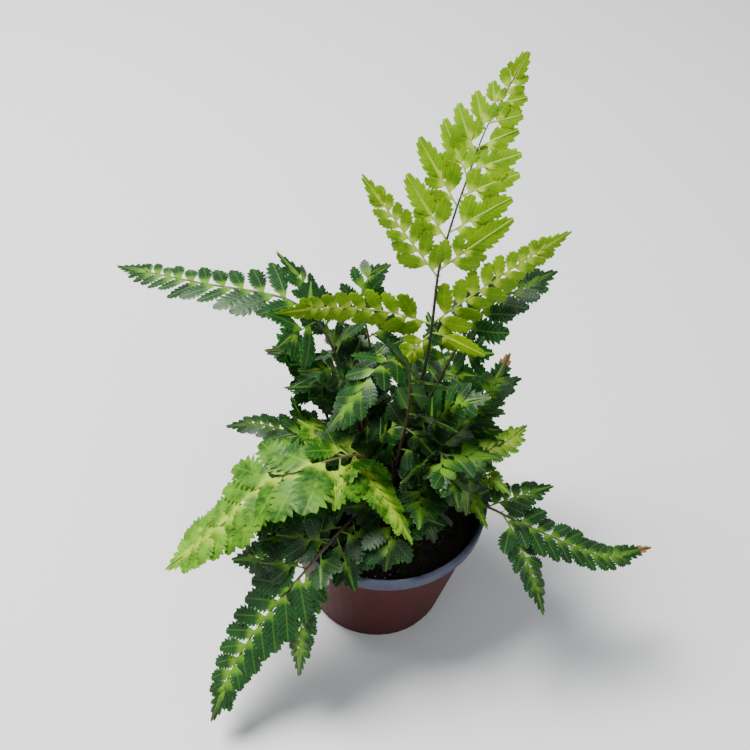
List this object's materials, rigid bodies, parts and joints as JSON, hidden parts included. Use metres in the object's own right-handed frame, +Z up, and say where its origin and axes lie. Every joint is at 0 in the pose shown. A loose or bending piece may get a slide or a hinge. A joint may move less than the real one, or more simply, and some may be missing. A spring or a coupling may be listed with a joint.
{
  "type": "potted fern",
  "caption": "Holly fern in a round two-tone nursery pot: a tall young lime frond over a spray of dark, banded, spiny-toothed fronds on thin stalks.",
  "frame": {"origin": "the middle of the pot's foot, on the plane it stands on", "axes": "+Z up along the pot's axis, -Y to the front, where the bright low frond and the hanging frond lean out, +X to the right"},
  "size_m": [0.2335, 0.1597, 0.2452],
  "materials": {
    "pot": "matt, reddish brown outside with a blue-grey rim and inside",
    "soil": "dark, damp peat with crumbs, moss and a few pale grains",
    "crown": "rough brown scales",
    "leaf_mature": "satin, deep green with yellow-green bands along each leaflet's middle",
    "leaf_young": "satin, bright lime green with pale midribs"
  },
  "bodies": {
    "root": {"pot": "pot", "soil": "soil", "crown_rhizome": "crown", "frond_01_tall_young": "leaf_young", "frond_02_left_long": "leaf_mature", "frond_03_left_upright": "leaf_mature", "frond_04_left_low": "leaf_mature", "frond_05_front_left_bright": "leaf_young", "frond_06_front_left_hanging": "leaf_mature", "frond_07_right_low": "leaf_mature", "frond_08_right_bright": "leaf_young", "frond_09_front_right": "leaf_mature", "frond_10_right_upright": "leaf_mature", "frond_11_back_right": "leaf_mature", "frond_12_back_centre": "leaf_mature", "frond_13_centre_front": "leaf_mature", "frond_14_centre_small": "leaf_mature", "frond_15_centre_right": "leaf_mature", "frond_16_centre_left": "leaf_mature", "frond_17_front_low": "leaf_mature", "frond_18_sprout": "leaf_young", "frond_19_back_arching": "leaf_mature", "frond_20_back_left_arching": "leaf_mature", "frond_21_back_right_arching": "leaf_mature", "frond_22_front_left_inner": "leaf_mature", "frond_23_front_centre": "leaf_mature", "frond_24_right_outer": "leaf_mature", "frond_25_left_outer": "leaf_mature", "frond_26_left_inner": "leaf_mature"}
  },
  "joints": []
}
